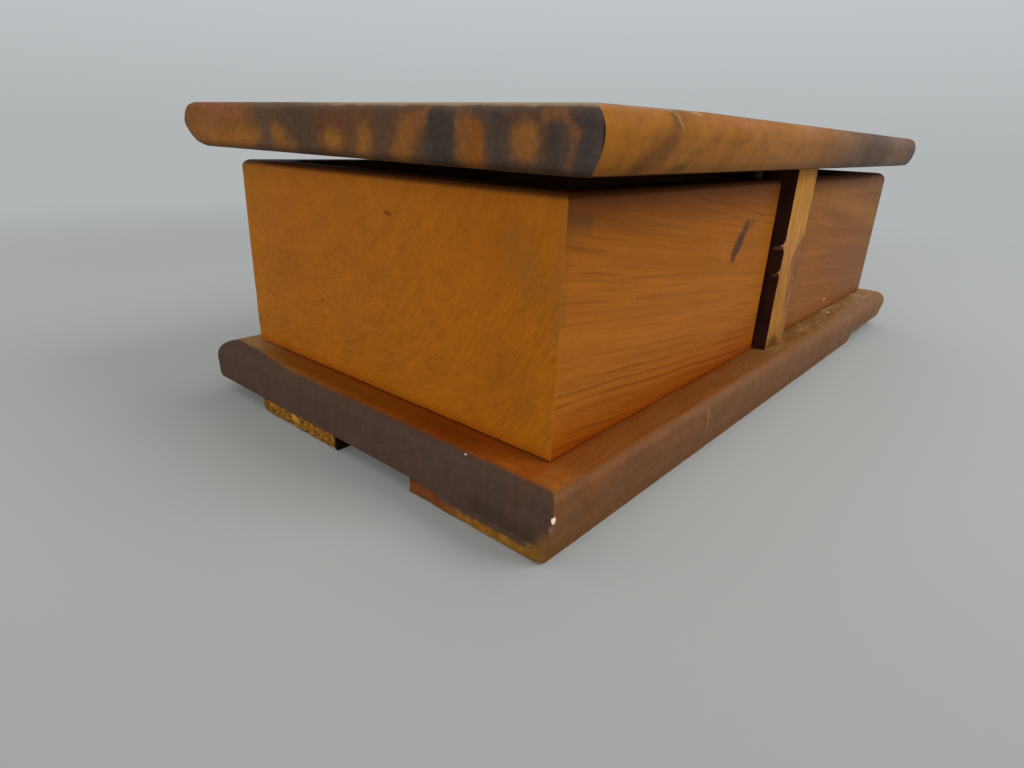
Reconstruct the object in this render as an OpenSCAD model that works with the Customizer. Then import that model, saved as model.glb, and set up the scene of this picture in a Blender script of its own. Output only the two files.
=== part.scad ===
// A small wooden box with two trays that swing out from under a fixed lid.
// +X is the right side, where both trays come out, and +Y is the rear. Z = 0 is the underside of the runners.

/* [Boards] */
// Width of the base and of the lid, left to right
board_w = 127; // [122:1:136]
// Length of the base and of the lid, front to rear
board_l = 248; // [242:1:262]
// Thickness of the base
base_t = 11.5; // [10:0.5:16]
// Thickness of the lid
lid_t = 10.9; // [10.2:0.1:14]
// Radius of the rounding along the top edge of the left side of the base
base_left_top_r = 6.5; // [1:0.5:7]
// Radius of the rounding along the top edge of the right side of the base
base_right_top_r = 1.5; // [1:0.5:7]
// Radius of the rounding along the top edges of the front and rear ends of the base
base_end_top_r = 2; // [1:0.5:7]
// Radius of the rounding along the bottom edges of the long sides of the base
base_side_bottom_r = 1.2; // [0.4:0.1:2.5]
// Radius of the rounding along the bottom edges of the front and rear ends of the base
base_end_bottom_r = 0.4; // [0.2:0.1:2.5]
// Height above the floor below which the right side was planed inwards
planed_h = 10; // [8:0.5:11]
// How far in the planed right side lies at the floor
planed_in = 2.2; // [1.4:0.1:2.5]
// Radius of the rounding along the top edge of the left side of the lid
lid_left_top_r = 5; // [1:0.25:5]
// Radius of the rounding along the top edge of the right side of the lid
lid_right_top_r = 3; // [1:0.25:5]
// Radius of the rounding along the bottom edges of the long sides of the lid
lid_side_bottom_r = 5; // [1:0.25:5]
// Radius of the rounding along the top edges of the front and rear ends of the lid
lid_end_top_r = 1.5; // [0.5:0.25:4.5]
// Radius of the rounding along the bottom edges of the front and rear ends of the lid
lid_end_bottom_r = 1.8; // [0.6:0.1:5]
// Angle by which the lid sits off square on the divider, in degrees
lid_skew = 1.4; // [-1.5:0.1:1.5]

/* [Divider] */
// Thickness of the divider, front to rear
divider_t = 16.8; // [14:0.2:22]
// How far each sawn end of the divider stands past the tray beside it
divider_proud = 3.5; // [0:0.5:5]

/* [Trays] */
// Width of each tray, left to right
tray_w = 108; // [90:1:109]
// Length of each tray, front to rear
tray_l = 103.3; // [80:0.1:104]
// Height of each tray
tray_h = 50.3; // [30:0.1:70]
// Thickness of the tray walls
wall_t = 8; // [7:0.5:12]
// Thickness of the wood left under the hollow
floor_t = 6; // [4:0.5:12]
// Radius of the upright corners inside the hollow
hollow_r = 8; // [3:0.5:10]
// Radius of the worn top edges of a tray
tray_top_r = 1.5; // [0.5:0.1:2.5]
// Radius of the upright outer corners of a tray
tray_corner_r = 0.8; // [0.3:0.1:2]
// Open height between a tray and the lid
tray_headroom = 3; // [1:0.2:8]
// Angle by which the front tray stands a little open, in degrees
front_tray_ajar = 0.5; // [0:0.1:1]

/* [Pivots] */
// Diameter of the pivot rods
rod_d = 3.2; // [2.8:0.1:4.4]
// Radial play of a rod in its tray
rod_play = 0.08; // [0.02:0.01:0.1]
// Distance from a rod to the two tray faces at its corner
rod_inset = 5.5; // [5.2:0.1:6.5]
// Clear space left when a tray corner swings past the divider
swing_space = 0.35; // [0.3:0.05:0.8]
// Depth of the rod in the base
rod_depth_base = 7; // [4:0.5:8]
// Depth of the rod in the lid
rod_depth_lid = 6; // [4:0.5:7]
// Outer diameter of the washers
washer_d = 8; // [7:0.5:10]
// Thickness of the washers
washer_t = 0.3; // [0.2:0.05:0.6]
// Space between a washer and the tray over it
washer_air = 0.1; // [0.05:0.05:0.3]

/* [Runners] */
// Thickness of the runners
runner_t = 4; // [3:0.25:6]
// Length of the runners
runner_l = 206; // [150:1:230]
// Width of the left runner
left_runner_w = 35; // [20:0.5:40]
// Distance from the left edge of the base to the left runner
left_runner_in = 25; // [10:0.5:28]
// Width of the right runner
right_runner_w = 39.5; // [20:0.5:40]
// Radius of the worn lower edge on the outer side of the left runner
left_runner_r = 2.5; // [0.5:0.25:2.75]
// How far the runners stay behind the front end and the right side of the base
runner_in = 0; // [0:0.1:2]

/* [Fixings] */
// Diameter of the dowels between lid and divider
dowel_d = 6; // [4:0.5:8]
// Length of the dowels
dowel_l = 20; // [16:1:28]
// Depth of the dowels in the lid
dowel_depth_lid = 6; // [4:0.5:7]
// Distance between the two dowels
dowel_spacing = 70; // [40:1:76]
// Diameter of the screw shanks
screw_d = 3.5; // [3:0.1:4.5]
// Diameter of the countersunk screw heads
screw_head_d = 7; // [6.5:0.1:8]
// Length of the screws
screw_l = 30; // [22:1:40]
// Distance between the two screws
screw_spacing = 90; // [50:1:94]
// Diameter of the runner pins
pin_d = 1.4; // [1:0.1:1.8]
// Diameter of the heads of the runner pins
pin_head_d = 2.8; // [2.4:0.1:3.5]
// Length of the runner pins
pin_l = 10; // [7:0.5:11]
// Distance from the ends of a runner to its outer pins
pin_end = 18; // [8:1:40]

/* [Hidden] */
$fn = 48;

// Play of a fixed round piece in its hole, and the space past its end
fixed_play = 0.03;
end_space = 0.5;
// Share of a screw or pin head's width that is its height
head_slope = 0.4;
// How far a cut runs past the face that it opens
past = 1;

// Heights, from the floor up
base_z = runner_t;
base_top = base_z + base_t;
tray_z = base_top + washer_t + washer_air;
tray_top = tray_z + tray_h;
lid_z = tray_top + tray_headroom;
lid_top = lid_z + lid_t;
divider_h = lid_z - base_top;

// Places across the box
divider_w = tray_w + 2 * divider_proud;
swing_gap = rod_inset * (sqrt(2) - 1) + swing_space;
tray_inner_y = divider_t / 2 + swing_gap;
rod_x = tray_w / 2 - rod_inset;
rod_y = tray_inner_y + rod_inset;
runner_front_y = -board_l / 2 + runner_in;
left_runner_x = -board_w / 2 + left_runner_in;
right_runner_x = board_w / 2 - runner_in - right_runner_w;
hollow_z = tray_z + floor_t;
screw_head_h = screw_head_d * head_slope;
pin_head_h = pin_head_d * head_slope;

wood_lid = "#8a5a26";
wood_base = "#6a4636";
wood_tray = "#b5731f";
wood_rear = "#8f5d3c";
wood_raw = "#c9a15e";
steel = "#8d8f92";
brass = "#b58b3a";

// A w by h outline centred in X, standing on Y = 0, with its lower and upper corners rounded.
// Both radii of the upper corners are given, left and right.
module edge_outline(w, h, low_r, high_r) {
    difference() {
        translate([-w / 2, 0]) square([w, h]);
        for (i = [0, 1]) {
            corner_cut(2 * i - 1, w / 2, 0, 1, low_r);
            corner_cut(2 * i - 1, w / 2, h, -1, high_r[i]);
        }
    }
}

// What rounding takes off one corner of an outline: side is -1 or 1, up is the way into the outline
module corner_cut(side, x, y, up, r) {
    difference() {
        translate([side * (x - r / 2 + past / 2), y + up * (r / 2 - past / 2)])
            square([r + past, r + past], center = true);
        translate([side * (x - r), y + up * r]) circle(r);
    }
}

// A board with rounded long sides and rounded ends, which meet in mitres at the corners.
// The upper radii are pairs: left and right side, front and rear end.
module rounded_board(w, l, t, side_low_r, side_high_r, end_low_r, end_high_r) {
    intersection() {
        translate([0, l / 2, 0]) rotate([90, 0, 0]) linear_extrude(l) edge_outline(w, t, side_low_r, side_high_r);
        translate([-w / 2, 0, 0]) rotate([90, 0, 90]) linear_extrude(w) edge_outline(l, t, end_low_r, end_high_r);
    }
}

// What the plane took off the lower part of the right side, from base and runner together
module planed_off() {
    side = board_w / 2;
    translate([0, board_l / 2 + past, 0]) rotate([90, 0, 0]) linear_extrude(board_l + 2 * past) polygon([
        [side, planed_h], [side - planed_in, 0], [side - planed_in, -past],
        [side + past, -past], [side + past, planed_h]
    ]);
}

// A rectangle from the origin to [w, l] with four round corners
module round_rectangle(w, l, r) {
    translate([r, 0]) square([w - 2 * r, l]);
    translate([0, r]) square([w, l - 2 * r]);
    for (x = [r, w - r], y = [r, l - r]) translate([x, y]) circle(r);
}

// An upright round bar or hole with its foot at z
module upright(x, y, z, h, d) {
    translate([x, y, z]) cylinder(h = h, d = d);
}

// A headed nail or screw, head down and flush at z: one turned outline
module headed(x, y, z, head_d, head_h, shank_d, l, play) {
    tip = shank_d;
    translate([x, y, z]) rotate_extrude() polygon([
        [0, 0], [head_d / 2 + play, 0], [shank_d / 2 + play, head_h],
        [shank_d / 2 + play, l - tip], [0, l + play]
    ]);
}

module dowel_places() {
    for (x = [-dowel_spacing / 2, dowel_spacing / 2]) translate([x, 0, 0]) children();
}

module screw_places() {
    for (x = [-screw_spacing / 2, screw_spacing / 2]) translate([x, 0, 0]) children();
}

module pin_places(x) {
    middle = runner_l / 2;
    for (y = [pin_end, middle, runner_l - pin_end]) translate([x, runner_front_y + y, 0]) children();
}

module one_screw(play) {
    headed(0, 0, base_z, screw_head_d, screw_head_h, screw_d, screw_l, play);
}

module one_pin(play) {
    headed(0, 0, 0, pin_head_d, pin_head_h, pin_d, pin_l, play);
}

module left_pins(play) {
    pin_places(left_runner_x + left_runner_w / 2) one_pin(play);
}

module right_pins(play) {
    pin_places(right_runner_x + right_runner_w / 2) one_pin(play);
}

// Holes for both rods in the base and in the lid
module rod_holes() {
    for (side = [-1, 1])
        upright(rod_x, side * rod_y, base_top - rod_depth_base - end_space,
            lid_z - base_top + rod_depth_base + rod_depth_lid + 2 * end_space, rod_d + 2 * fixed_play);
}

module base_board() {
    color(wood_base) difference() {
        translate([0, 0, base_z])
            rounded_board(board_w, board_l, base_t, base_side_bottom_r, [base_left_top_r, base_right_top_r],
                base_end_bottom_r, [base_end_top_r, base_end_top_r]);
        planed_off();
        rod_holes();
        screw_places() one_screw(fixed_play);
        left_pins(fixed_play);
        right_pins(fixed_play);
    }
}

module left_runner() {
    color(wood_raw) difference() {
        translate([left_runner_x, runner_front_y + runner_l, 0]) rotate([90, 0, 0]) linear_extrude(runner_l)
            difference() {
                square([left_runner_w, runner_t]);
                corner_cut(-1, 0, 0, 1, left_runner_r);
            }
        left_pins(fixed_play);
    }
}

module right_runner() {
    color(wood_raw) difference() {
        translate([right_runner_x, runner_front_y, 0]) cube([right_runner_w, runner_l, runner_t]);
        planed_off();
        right_pins(fixed_play);
    }
}

module left_runner_pins() {
    color(steel) left_pins(0);
}

module right_runner_pins() {
    color(steel) right_pins(0);
}

module divider_board() {
    color(wood_raw) difference() {
        translate([-divider_w / 2, -divider_t / 2, base_top]) cube([divider_w, divider_t, divider_h]);
        screw_places() one_screw(fixed_play);
        dowel_places() upright(0, 0, lid_z + dowel_depth_lid - dowel_l - end_space,
            dowel_l + end_space, dowel_d + 2 * fixed_play);
    }
}

module base_screws() {
    color(steel) screw_places() one_screw(0);
}

module lid_board() {
    color(wood_lid) difference() {
        translate([0, 0, lid_z]) rotate(lid_skew)
            rounded_board(board_w, board_l, lid_t, lid_side_bottom_r, [lid_left_top_r, lid_right_top_r],
                lid_end_bottom_r, [lid_end_top_r, lid_end_top_r]);
        rod_holes();
        dowel_places() upright(0, 0, lid_z - past, past + dowel_depth_lid + end_space,
            dowel_d + 2 * fixed_play);
    }
}

module lid_dowels() {
    color(wood_raw) dowel_places() upright(0, 0, lid_z + dowel_depth_lid - dowel_l, dowel_l, dowel_d);
}

// The front tray: a block hollowed from above, with its rod bore through the rear right corner
module tray() {
    front_y = -tray_inner_y - tray_l;
    difference() {
        intersection() {
            translate([0, -tray_inner_y, tray_z]) rotate([90, 0, 0])
                linear_extrude(tray_l) edge_outline(tray_w, tray_h, tray_corner_r / 2, [tray_top_r, tray_top_r]);
            translate([-tray_w / 2, front_y + tray_l / 2, tray_z]) rotate([90, 0, 90])
                linear_extrude(tray_w) edge_outline(tray_l, tray_h, tray_corner_r / 2, [tray_top_r, tray_top_r]);
            translate([-tray_w / 2, front_y, tray_z]) linear_extrude(tray_h)
                round_rectangle(tray_w, tray_l, tray_corner_r);
        }
        translate([-tray_w / 2 + wall_t, front_y + wall_t, hollow_z]) linear_extrude(tray_h)
            round_rectangle(tray_w - 2 * wall_t, tray_l - 2 * wall_t, hollow_r);
        upright(rod_x, -rod_y, tray_z - past, tray_h + 2 * past, rod_d + 2 * rod_play);
    }
}

// Turned about its rod, the way the tray was left
module front_tray() {
    color(wood_tray) translate([rod_x, -rod_y, 0]) rotate(front_tray_ajar) translate([-rod_x, rod_y, 0]) tray();
}

module rear_tray() {
    color(wood_rear) mirror([0, 1, 0]) tray();
}

module pivot_rod(side) {
    upright(rod_x, side * rod_y, base_top - rod_depth_base, divider_h + rod_depth_base + rod_depth_lid, rod_d);
}

module front_pivot_rod() {
    color(steel) pivot_rod(-1);
}

module rear_pivot_rod() {
    color(steel) pivot_rod(1);
}

module washer(side) {
    difference() {
        upright(rod_x, side * rod_y, base_top, washer_t, washer_d);
        upright(rod_x, side * rod_y, base_top - past, washer_t + 2 * past, rod_d + 2 * fixed_play);
    }
}

module front_washer() {
    color(brass) washer(-1);
}

module rear_washer() {
    color(brass) washer(1);
}

base_board();
left_runner();
right_runner();
left_runner_pins();
right_runner_pins();
divider_board();
base_screws();
lid_board();
lid_dowels();
front_tray();
rear_tray();
front_pivot_rod();
rear_pivot_rod();
front_washer();
rear_washer();
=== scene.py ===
import math
from functools import reduce

import bmesh
import bpy
from mathutils import Matrix, Vector, noise


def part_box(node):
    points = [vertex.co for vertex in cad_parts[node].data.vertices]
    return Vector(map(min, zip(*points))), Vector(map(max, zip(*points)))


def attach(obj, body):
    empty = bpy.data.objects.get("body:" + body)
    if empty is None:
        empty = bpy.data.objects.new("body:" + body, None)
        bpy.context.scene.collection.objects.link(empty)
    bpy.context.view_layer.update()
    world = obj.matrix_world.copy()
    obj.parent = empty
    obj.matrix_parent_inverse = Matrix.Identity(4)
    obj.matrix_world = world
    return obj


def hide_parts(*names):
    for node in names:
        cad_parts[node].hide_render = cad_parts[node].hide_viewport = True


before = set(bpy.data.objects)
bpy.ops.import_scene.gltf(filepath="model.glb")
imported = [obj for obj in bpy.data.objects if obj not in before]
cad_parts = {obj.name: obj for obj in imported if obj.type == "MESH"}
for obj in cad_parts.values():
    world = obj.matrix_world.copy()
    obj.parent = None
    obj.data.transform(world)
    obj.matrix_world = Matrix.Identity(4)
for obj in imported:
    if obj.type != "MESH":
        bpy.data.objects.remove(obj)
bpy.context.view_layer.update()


# Base board: a plank of brown fruitwood, stained and waxed, its ends almost black where the
# end grain drank the stain. Its upper edges are rounded over, of its lower ones only the left.
# Its right side was planed inwards together with the runner below. Both rods stand in it.
MM = 0.001
TOUCH = 1e-7
RIGHT, LEFT = Vector((1, 0, 0)), Vector((-1, 0, 0))
REAR, FRONT = Vector((0, 1, 0)), Vector((0, -1, 0))
UP, DOWN = Vector((0, 0, 1)), Vector((0, 0, -1))
BASE_LEFT_TOP_ROUND = 6.5 * MM
BASE_RIGHT_TOP_ROUND = (1.5 * MM, 4.5 * MM)
BASE_FRONT_TOP_ROUND = (5 * MM, 2 * MM)
BASE_REAR_TOP_ROUND = 4 * MM
BASE_LEFT_FOOT_ROUND = 2.6 * MM
# The right side is planed inwards from this height down, by this much at the table.
PLANED_FROM = 10 * MM
PLANED_IN = 2.2 * MM
# How far the wear keeps off the joint between the base and the runners.
JOINT_HIDE = 4 * MM
BORE_PLAY = 0.03 * MM
# Chips of pale dust on its edges: place and radius in millimetres, and how each is stretched.
BASE_SPECKS = (((63.4, -123.6, 10.9), 0.8, (1.3, 1.3, 0.9)), ((40.1, -122.5, 14.9), 0.42, (0.8, 1, 1)),
               ((56.5, 60.4, 15.3), 0.5, (1, 0.6, 1)))


def tint(red, green, blue):
    """A colour as the eye reads it, 0 to 255, made ready for a finish."""
    parts = []
    for part in (red, green, blue):
        part = part / 255
        parts.append(part / 12.92 if part <= 0.04045 else ((part + 0.055) / 1.055) ** 2.4)
    return (*parts, 1)


class Steps:
    """Work in a tree of nodes, step by step: each step gives what the next one takes."""

    def __init__(self, tree):
        self.nodes = tree.nodes
        self.links = tree.links

    def feed(self, socket, value):
        if isinstance(value, bpy.types.NodeSocket):
            self.links.new(value, socket)
        else:
            socket.default_value = value

    def add(self, kind, *values, named=None, **settings):
        """Adds a node and feeds its inputs: the first ones in their order, others by name or number."""
        node = self.nodes.new("ShaderNode" + kind)
        for setting, choice in settings.items():
            setattr(node, setting, choice)
        for socket, value in zip(node.inputs, values):
            self.feed(socket, value)
        for key, value in (named or {}).items():
            self.feed(node.inputs[key], value)
        return node

    def place(self, where, shift=(0, 0, 0), turn=(0, 0, 0), size=(1, 1, 1)):
        """Scales places, then turns them by degrees, then shifts them."""
        angles = [math.radians(part) for part in turn]
        return self.add("Mapping", where, shift, angles, size).outputs["Vector"]

    def split(self, where):
        return self.add("SeparateXYZ", where).outputs[:]

    def join(self, x, y, z):
        return self.add("CombineXYZ", x, y, z).outputs[0]

    def sum(self, how, *values):
        return self.add("Math", *values, operation=how).outputs[0]

    def times(self, *values):
        return reduce(lambda total, value: self.sum("MULTIPLY", total, value), values)

    def plus(self, *values):
        return reduce(lambda total, value: self.sum("ADD", total, value), values)

    def minus(self, value, less):
        return self.sum("SUBTRACT", value, less)

    def distance(self, value, middle=0.0):
        """How far a number lies off a middle, either way."""
        return self.sum("ABSOLUTE", self.minus(value, middle))

    def way(self, how, *values):
        """Sums on places, where `times` and `plus` work on plain numbers."""
        outputs = self.add("VectorMath", *values, operation=how).outputs
        return outputs["Value" if how in ("LENGTH", "DISTANCE", "DOT_PRODUCT") else "Vector"]

    def cloud(self, where, size, detail=3, rough=0.55):
        """Soft uneven patches, 0 to 1, about `size` millimetres across."""
        named = {"Scale": 1 / size, "Detail": detail, "Roughness": rough}
        return self.add("TexNoise", where, named=named).outputs["Fac"]

    def streak(self, where, sizes, detail=3, rough=0.55, shift=(0, 0, 0)):
        """Patches drawn out into streaks: one size in millimetres for each of the three ways."""
        drawn = self.place(where, shift=shift, size=[1 / size for size in sizes])
        return self.cloud(drawn, 1, detail, rough)

    def stir(self, where, size, reach):
        """Pushes places about by up to half of `reach` millimetres, so that a drawn shape goes ragged."""
        swirl = self.add("TexNoise", where, named={"Scale": 1 / size, "Detail": 3}).outputs["Color"]
        pushed = self.way("MULTIPLY_ADD", swirl, [reach] * 3, where)
        return self.place(pushed, shift=[-reach / 2] * 3)

    def shake(self, value, by, reach):
        """Moves a plain number up and down by up to half of `reach`, as the patches in `by` go."""
        return self.plus(value, self.times(self.minus(by, 0.5), reach))

    def fade(self, value, start, stop, low=0.0, high=1.0):
        """Goes smoothly from low to high as the value goes from start to stop."""
        node = self.add("MapRange", value, start, stop, low, high, interpolation_type="SMOOTHSTEP")
        return node.outputs["Result"]

    def bands(self, value, stops):
        """A row of greys or colours along a value from 0 to 1."""
        node = self.add("ValToRGB", value)
        row = node.color_ramp.elements
        while len(row) < len(stops):
            row.new(0.5)
        for point, (at, colour) in zip(row, stops):
            point.position = at
            point.color = colour if isinstance(colour, tuple) else (colour, colour, colour, 1)
        return node.outputs["Color"]

    def along(self, value, stops):
        """Colours along a length. A stop holds the place in millimetres and the colour."""
        first, last = stops[0][0], stops[-1][0]
        share = self.sum("DIVIDE", self.minus(value, first), last - first)
        return self.bands(share, [((at - first) / (last - first), tint(*colour)) for at, *colour in stops])

    def mix(self, share, under, over, how="MIX"):
        node = self.add("Mix", share, named={6: under, 7: over}, data_type="RGBA", blend_type=how)
        return node.outputs[2]

    def over(self, colour, paint, *shares):
        """Lays a paint, or another finish, over a colour as thickly as its shares come to, multiplied."""
        ready = paint if isinstance(paint, bpy.types.NodeSocket) else tint(*paint)
        return self.mix(self.times(*shares), colour, ready)

    def shade(self, colour, value, dark, light, start=0.3, stop=0.7):
        """Darkens and lightens a colour by streaks or patches, to shares of its brightness."""
        return self.mix(1.0, colour, self.fade(value, start, stop, dark, light), "MULTIPLY")

    def spot(self, where, centre, radius, soft, stretch):
        """1 inside a small spot, 0 outside it. A stretch over 1 thins it."""
        near = self.place(self.place(where, shift=[-part for part in centre]), size=stretch)
        return self.fade(self.way("LENGTH", near), radius, radius * (1 - soft))

    def mark(self, where, start, stop, half, soft):
        """1 along a stroke between two places, 0 further off than half its width."""
        reach = Vector(stop) - Vector(start)
        from_start = self.way("SUBTRACT", where, start)
        share = self.way("DOT_PRODUCT", from_start, reach / reach.length_squared)
        share = self.sum("MAXIMUM", self.sum("MINIMUM", share, 1.0), 0.0)
        nearest = self.way("MULTIPLY", self.join(share, share, share), reach)
        return self.fade(self.way("DISTANCE", from_start, nearest), half, half * (1 - soft))

    def strokes(self, colour, where, axis, rows, *shares, wider=1.0):
        """Lays strokes over a colour, on a flat that runs along X (axis 0) or Y (axis 1). A row holds where
        the stroke starts and stops, each along and up, half its width, its softness, share and paint."""
        for *ends, half, soft, share, red, green, blue in rows:
            places = [(0, at, up) if axis else (at, 0, up) for at, up in (ends[:2], ends[2:])]
            stroke = self.mark(where, *places, half * wider, soft)
            colour = self.over(colour, (red, green, blue), stroke, share, *shares)
        return colour

    def growth(self, where, pith, lean, wander, seed):
        """Distance from the heart of the tree, way round it and way along it, in millimetres."""
        turned = self.place(where, shift=(-pith[0], seed, -pith[1]), turn=(lean, 0, 0))
        drift = self.cloud(self.place(turned, size=(1, 0.25, 1), shift=(seed, 0, 0)), 38, 2, 0.4)
        ripple = self.cloud(self.place(turned, size=(1, 0.12, 1), shift=(0, 0, seed)), 6, 2, 0.5)
        x, y, z = self.split(turned)
        radius = self.sum("SQRT", self.plus(self.times(x, x), self.times(z, z)))
        radius = self.shake(self.shake(radius, drift, wander * 2), ripple, wander * 0.35)
        return self.join(radius, self.times(self.sum("ARCTAN2", x, z), 100), y)

    def rings(self, grown, gap):
        """Yearly rings, 0 in the soft early wood and 1 in the thin dark late wood."""
        count = self.sum("DIVIDE", self.split(grown)[0], gap)
        each_year = self.add("TexWhiteNoise", named={"W": self.sum("FLOOR", count)}, noise_dimensions="1D")
        line = self.bands(self.sum("FRACT", count), [(0, 0.0), (0.55, 0.15), (0.88, 1.0), (1, 0.0)])
        return self.times(line, self.sum("MULTIPLY_ADD", each_year.outputs["Value"], 0.85, 0.15))


class Finish(Steps):
    """The finish of a piece."""

    def __init__(self, name):
        self.material = bpy.data.materials.new(name)
        self.material.use_nodes = True
        super().__init__(self.material.node_tree)
        self.shader = self.nodes["Principled BSDF"]

    def own_spots(self, shift=(0, 0, 0), turn=(0, 0, 0)):
        """Places in millimetres from the piece's own zero."""
        return self.place(self.add("TexCoord").outputs["Object"], shift, turn, [1 / MM] * 3)

    def relief(self, height, depth):
        """Raises and sinks the surface: height runs from 0 to 1, depth is in millimetres."""
        node = self.add("Bump", named={"Distance": depth * MM, "Height": height})
        self.feed(self.shader.inputs["Normal"], node.outputs["Normal"])

    def lay(self, colour, sheen_off, shine=0.05):
        self.feed(self.shader.inputs["Base Color"], colour)
        self.feed(self.shader.inputs["Roughness"], sheen_off)
        self.shader.inputs["Specular IOR Level"].default_value = shine
        return self.material


def plank(low, high):
    """A square-edged blank between two corners."""
    blank = bmesh.new()
    bmesh.ops.create_cube(blank, size=1)
    bmesh.ops.scale(blank, vec=high - low, verts=blank.verts)
    bmesh.ops.translate(blank, vec=(low + high) / 2, verts=blank.verts)
    return blank


def cut_line(blank, point, across, **more):
    """Adds points and edges where a flat through a point crosses the blank."""
    everything = blank.verts[:] + blank.edges[:] + blank.faces[:]
    bmesh.ops.bisect_plane(blank, geom=everything, dist=TOUCH, plane_co=point, plane_no=across, **more)


def plane_off(blank, point, outward):
    """Planes away all that lies beyond a flat through a point, and closes the cut."""
    cut_line(blank, point, outward, clear_outer=True)
    rim = [e for e in blank.edges if e.is_boundary]
    bmesh.ops.holes_fill(blank, edges=rim, sides=0)


def plane_round(blank, low, high, side, level, radius, steps=8):
    """Planes one long edge of the blank round, in narrow flats. The edge lies to `side` and `level`.
    A pair of radii makes it go from the one, at its lower end along X or Y, to the other."""
    hearts = []
    sizes = radius if isinstance(radius, tuple) else (radius, radius)
    for end, size in zip((low, high), sizes):
        facing = side + level
        corner = Vector([high[a] if facing[a] > 0 else low[a] if facing[a] < 0 else end[a] for a in range(3)])
        hearts.append(corner - size * facing)
    for step in range(steps):
        lean = math.radians(90 * (step + 0.5) / steps)
        outward = side * math.cos(lean) + level * math.sin(lean)
        run = (hearts[1] + outward * sizes[1] - hearts[0] - outward * sizes[0]).normalized()
        plane_off(blank, hearts[0] + outward * sizes[0], (outward - run * outward.dot(run)).normalized())


def score(blank, axis, gap, start=None, stop=None):
    """Adds lines of points right round the blank, at even gaps, for wear to move."""
    here = [v.co[axis] for v in blank.verts]
    start = min(here) if start is None else start
    stop = max(here) if stop is None else stop
    count = max(2, round((stop - start) / gap))
    for i in range(1, count):
        at = Vector((0, 0, 0))
        across = Vector((0, 0, 0))
        at[axis] = start + (stop - start) * i / count
        across[axis] = 1
        cut_line(blank, at, across)


def rub(blank, low, high, all_over, at_edges, reach, seed):
    """Wears the blank: a little all over, and in dips along its edges. It only ever gets smaller."""
    blank.normal_update()
    moves = []
    for v in blank.verts:
        p = v.co
        gaps = sorted(min(p[a] - low[a], high[a] - p[a]) for a in range(3))
        near = max(0.0, 1 - gaps[1] / reach)
        slow = noise.noise(p * 60 + Vector((seed, 0, 0))) * 0.5 + 0.5
        fast = max(0.0, noise.noise(p * 220 + Vector((0, seed, 0))) * 0.8 + noise.noise(p * 700) * 0.4)
        moves.append(v.normal * -(all_over * slow + at_edges * near * near * (0.15 + fast)))
    for v, move in zip(blank.verts, moves):
        v.co += move


def drill(x, y, low, high, radius):
    """The shape that a bit cuts, upright, between two heights."""
    bit = bmesh.new()
    bmesh.ops.create_cone(bit, cap_ends=True, segments=32, radius1=radius, radius2=radius, depth=high - low)
    bmesh.ops.translate(bit, vec=(x, y, (low + high) / 2), verts=bit.verts)
    return bit


def as_piece(blank, name, finish, corner=35):
    """Turns a finished blank into a piece at the zero of the whole box."""
    bmesh.ops.recalc_face_normals(blank, faces=blank.faces)
    shape = bpy.data.meshes.new(name)
    blank.to_mesh(shape)
    blank.free()
    piece = bpy.data.objects.new(name, shape)
    bpy.context.scene.collection.objects.link(piece)
    shape.shade_smooth()
    shape.set_sharp_from_angle(angle=math.radians(corner))
    if finish:
        shape.materials.append(finish)
    return piece


def cut_away(blank, bits):
    """Takes what the bits cut out of the blank, and gives the blank back."""
    piece = as_piece(blank, "blank", None)
    cutters = [as_piece(bit, "bit", None) for bit in bits]
    for cutter in cutters:
        cut = piece.modifiers.new("cut", "BOOLEAN")
        cut.operation = "DIFFERENCE"
        cut.solver = "EXACT"
        cut.object = cutter
    bpy.context.view_layer.update()
    ready = piece.evaluated_get(bpy.context.evaluated_depsgraph_get())
    shape = bpy.data.meshes.new_from_object(ready)
    left = bmesh.new()
    left.from_mesh(shape)
    bpy.data.meshes.remove(shape)
    for old in [piece] + cutters:
        old_shape = old.data
        bpy.data.objects.remove(old)
        bpy.data.meshes.remove(old_shape)
    return left


def rod_place(node):
    """Middle line, foot, head and radius of an upright round piece."""
    low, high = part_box(node)
    return (low.x + high.x) / 2, (low.y + high.y) / 2, low.z, high.z, (high.x - low.x) / 2


def side_stain(wood, spot):
    """The red brown of the base's long right side, which the runner below shares."""
    y = wood.split(spot)[1]
    side = wood.along(y, [(-124, 109, 70, 41), (0, 114, 77, 49), (124, 118, 83, 57)])
    slanted = wood.place(spot, turn=(-40, 0, 0))
    side = wood.shade(side, wood.streak(slanted, (2, 0.8, 6), 3, 0.6), 0.92, 1.08)
    side = wood.shade(side, wood.streak(spot, (4, 14, 8)), 0.92, 1.08)
    side = wood.shade(side, wood.cloud(spot, 1.4, 3, 0.65), 0.95, 1.05)
    warm = wood.fade(wood.streak(spot, (5, 13, 6), shift=(9, 0, 3)), 0.52, 0.7, 0, 0.4)
    return wood.over(side, (126, 76, 42), warm)


def end_stain_and_sheen(wood, spot):
    """The near black of the base's front end, which runs on over the runner below. Its grey purple is partly
    the stain and partly a painted reflection on the dark varnish.
    """
    upright = wood.streak(spot, (1.6, 8, 5), 4, 0.65)
    end = wood.shade(tint(69, 52, 43), upright, 0.91, 1.09)
    end = wood.shade(end, wood.cloud(spot, 1.1, 4, 0.7), 0.91, 1.09)
    warm = wood.fade(wood.streak(spot, (5, 20, 9), 4, 0.6), 0.5, 0.64, 0, 0.3)
    end = wood.over(end, (80, 48, 37), warm)
    # Pale grey streaks: a painted reflection, mottled over the stain.
    pale = wood.fade(wood.streak(spot, (9, 30, 5), shift=(7, 0, 2)), 0.52, 0.7, 0, 0.4)
    return wood.over(end, (74, 60, 54), pale)


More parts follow.
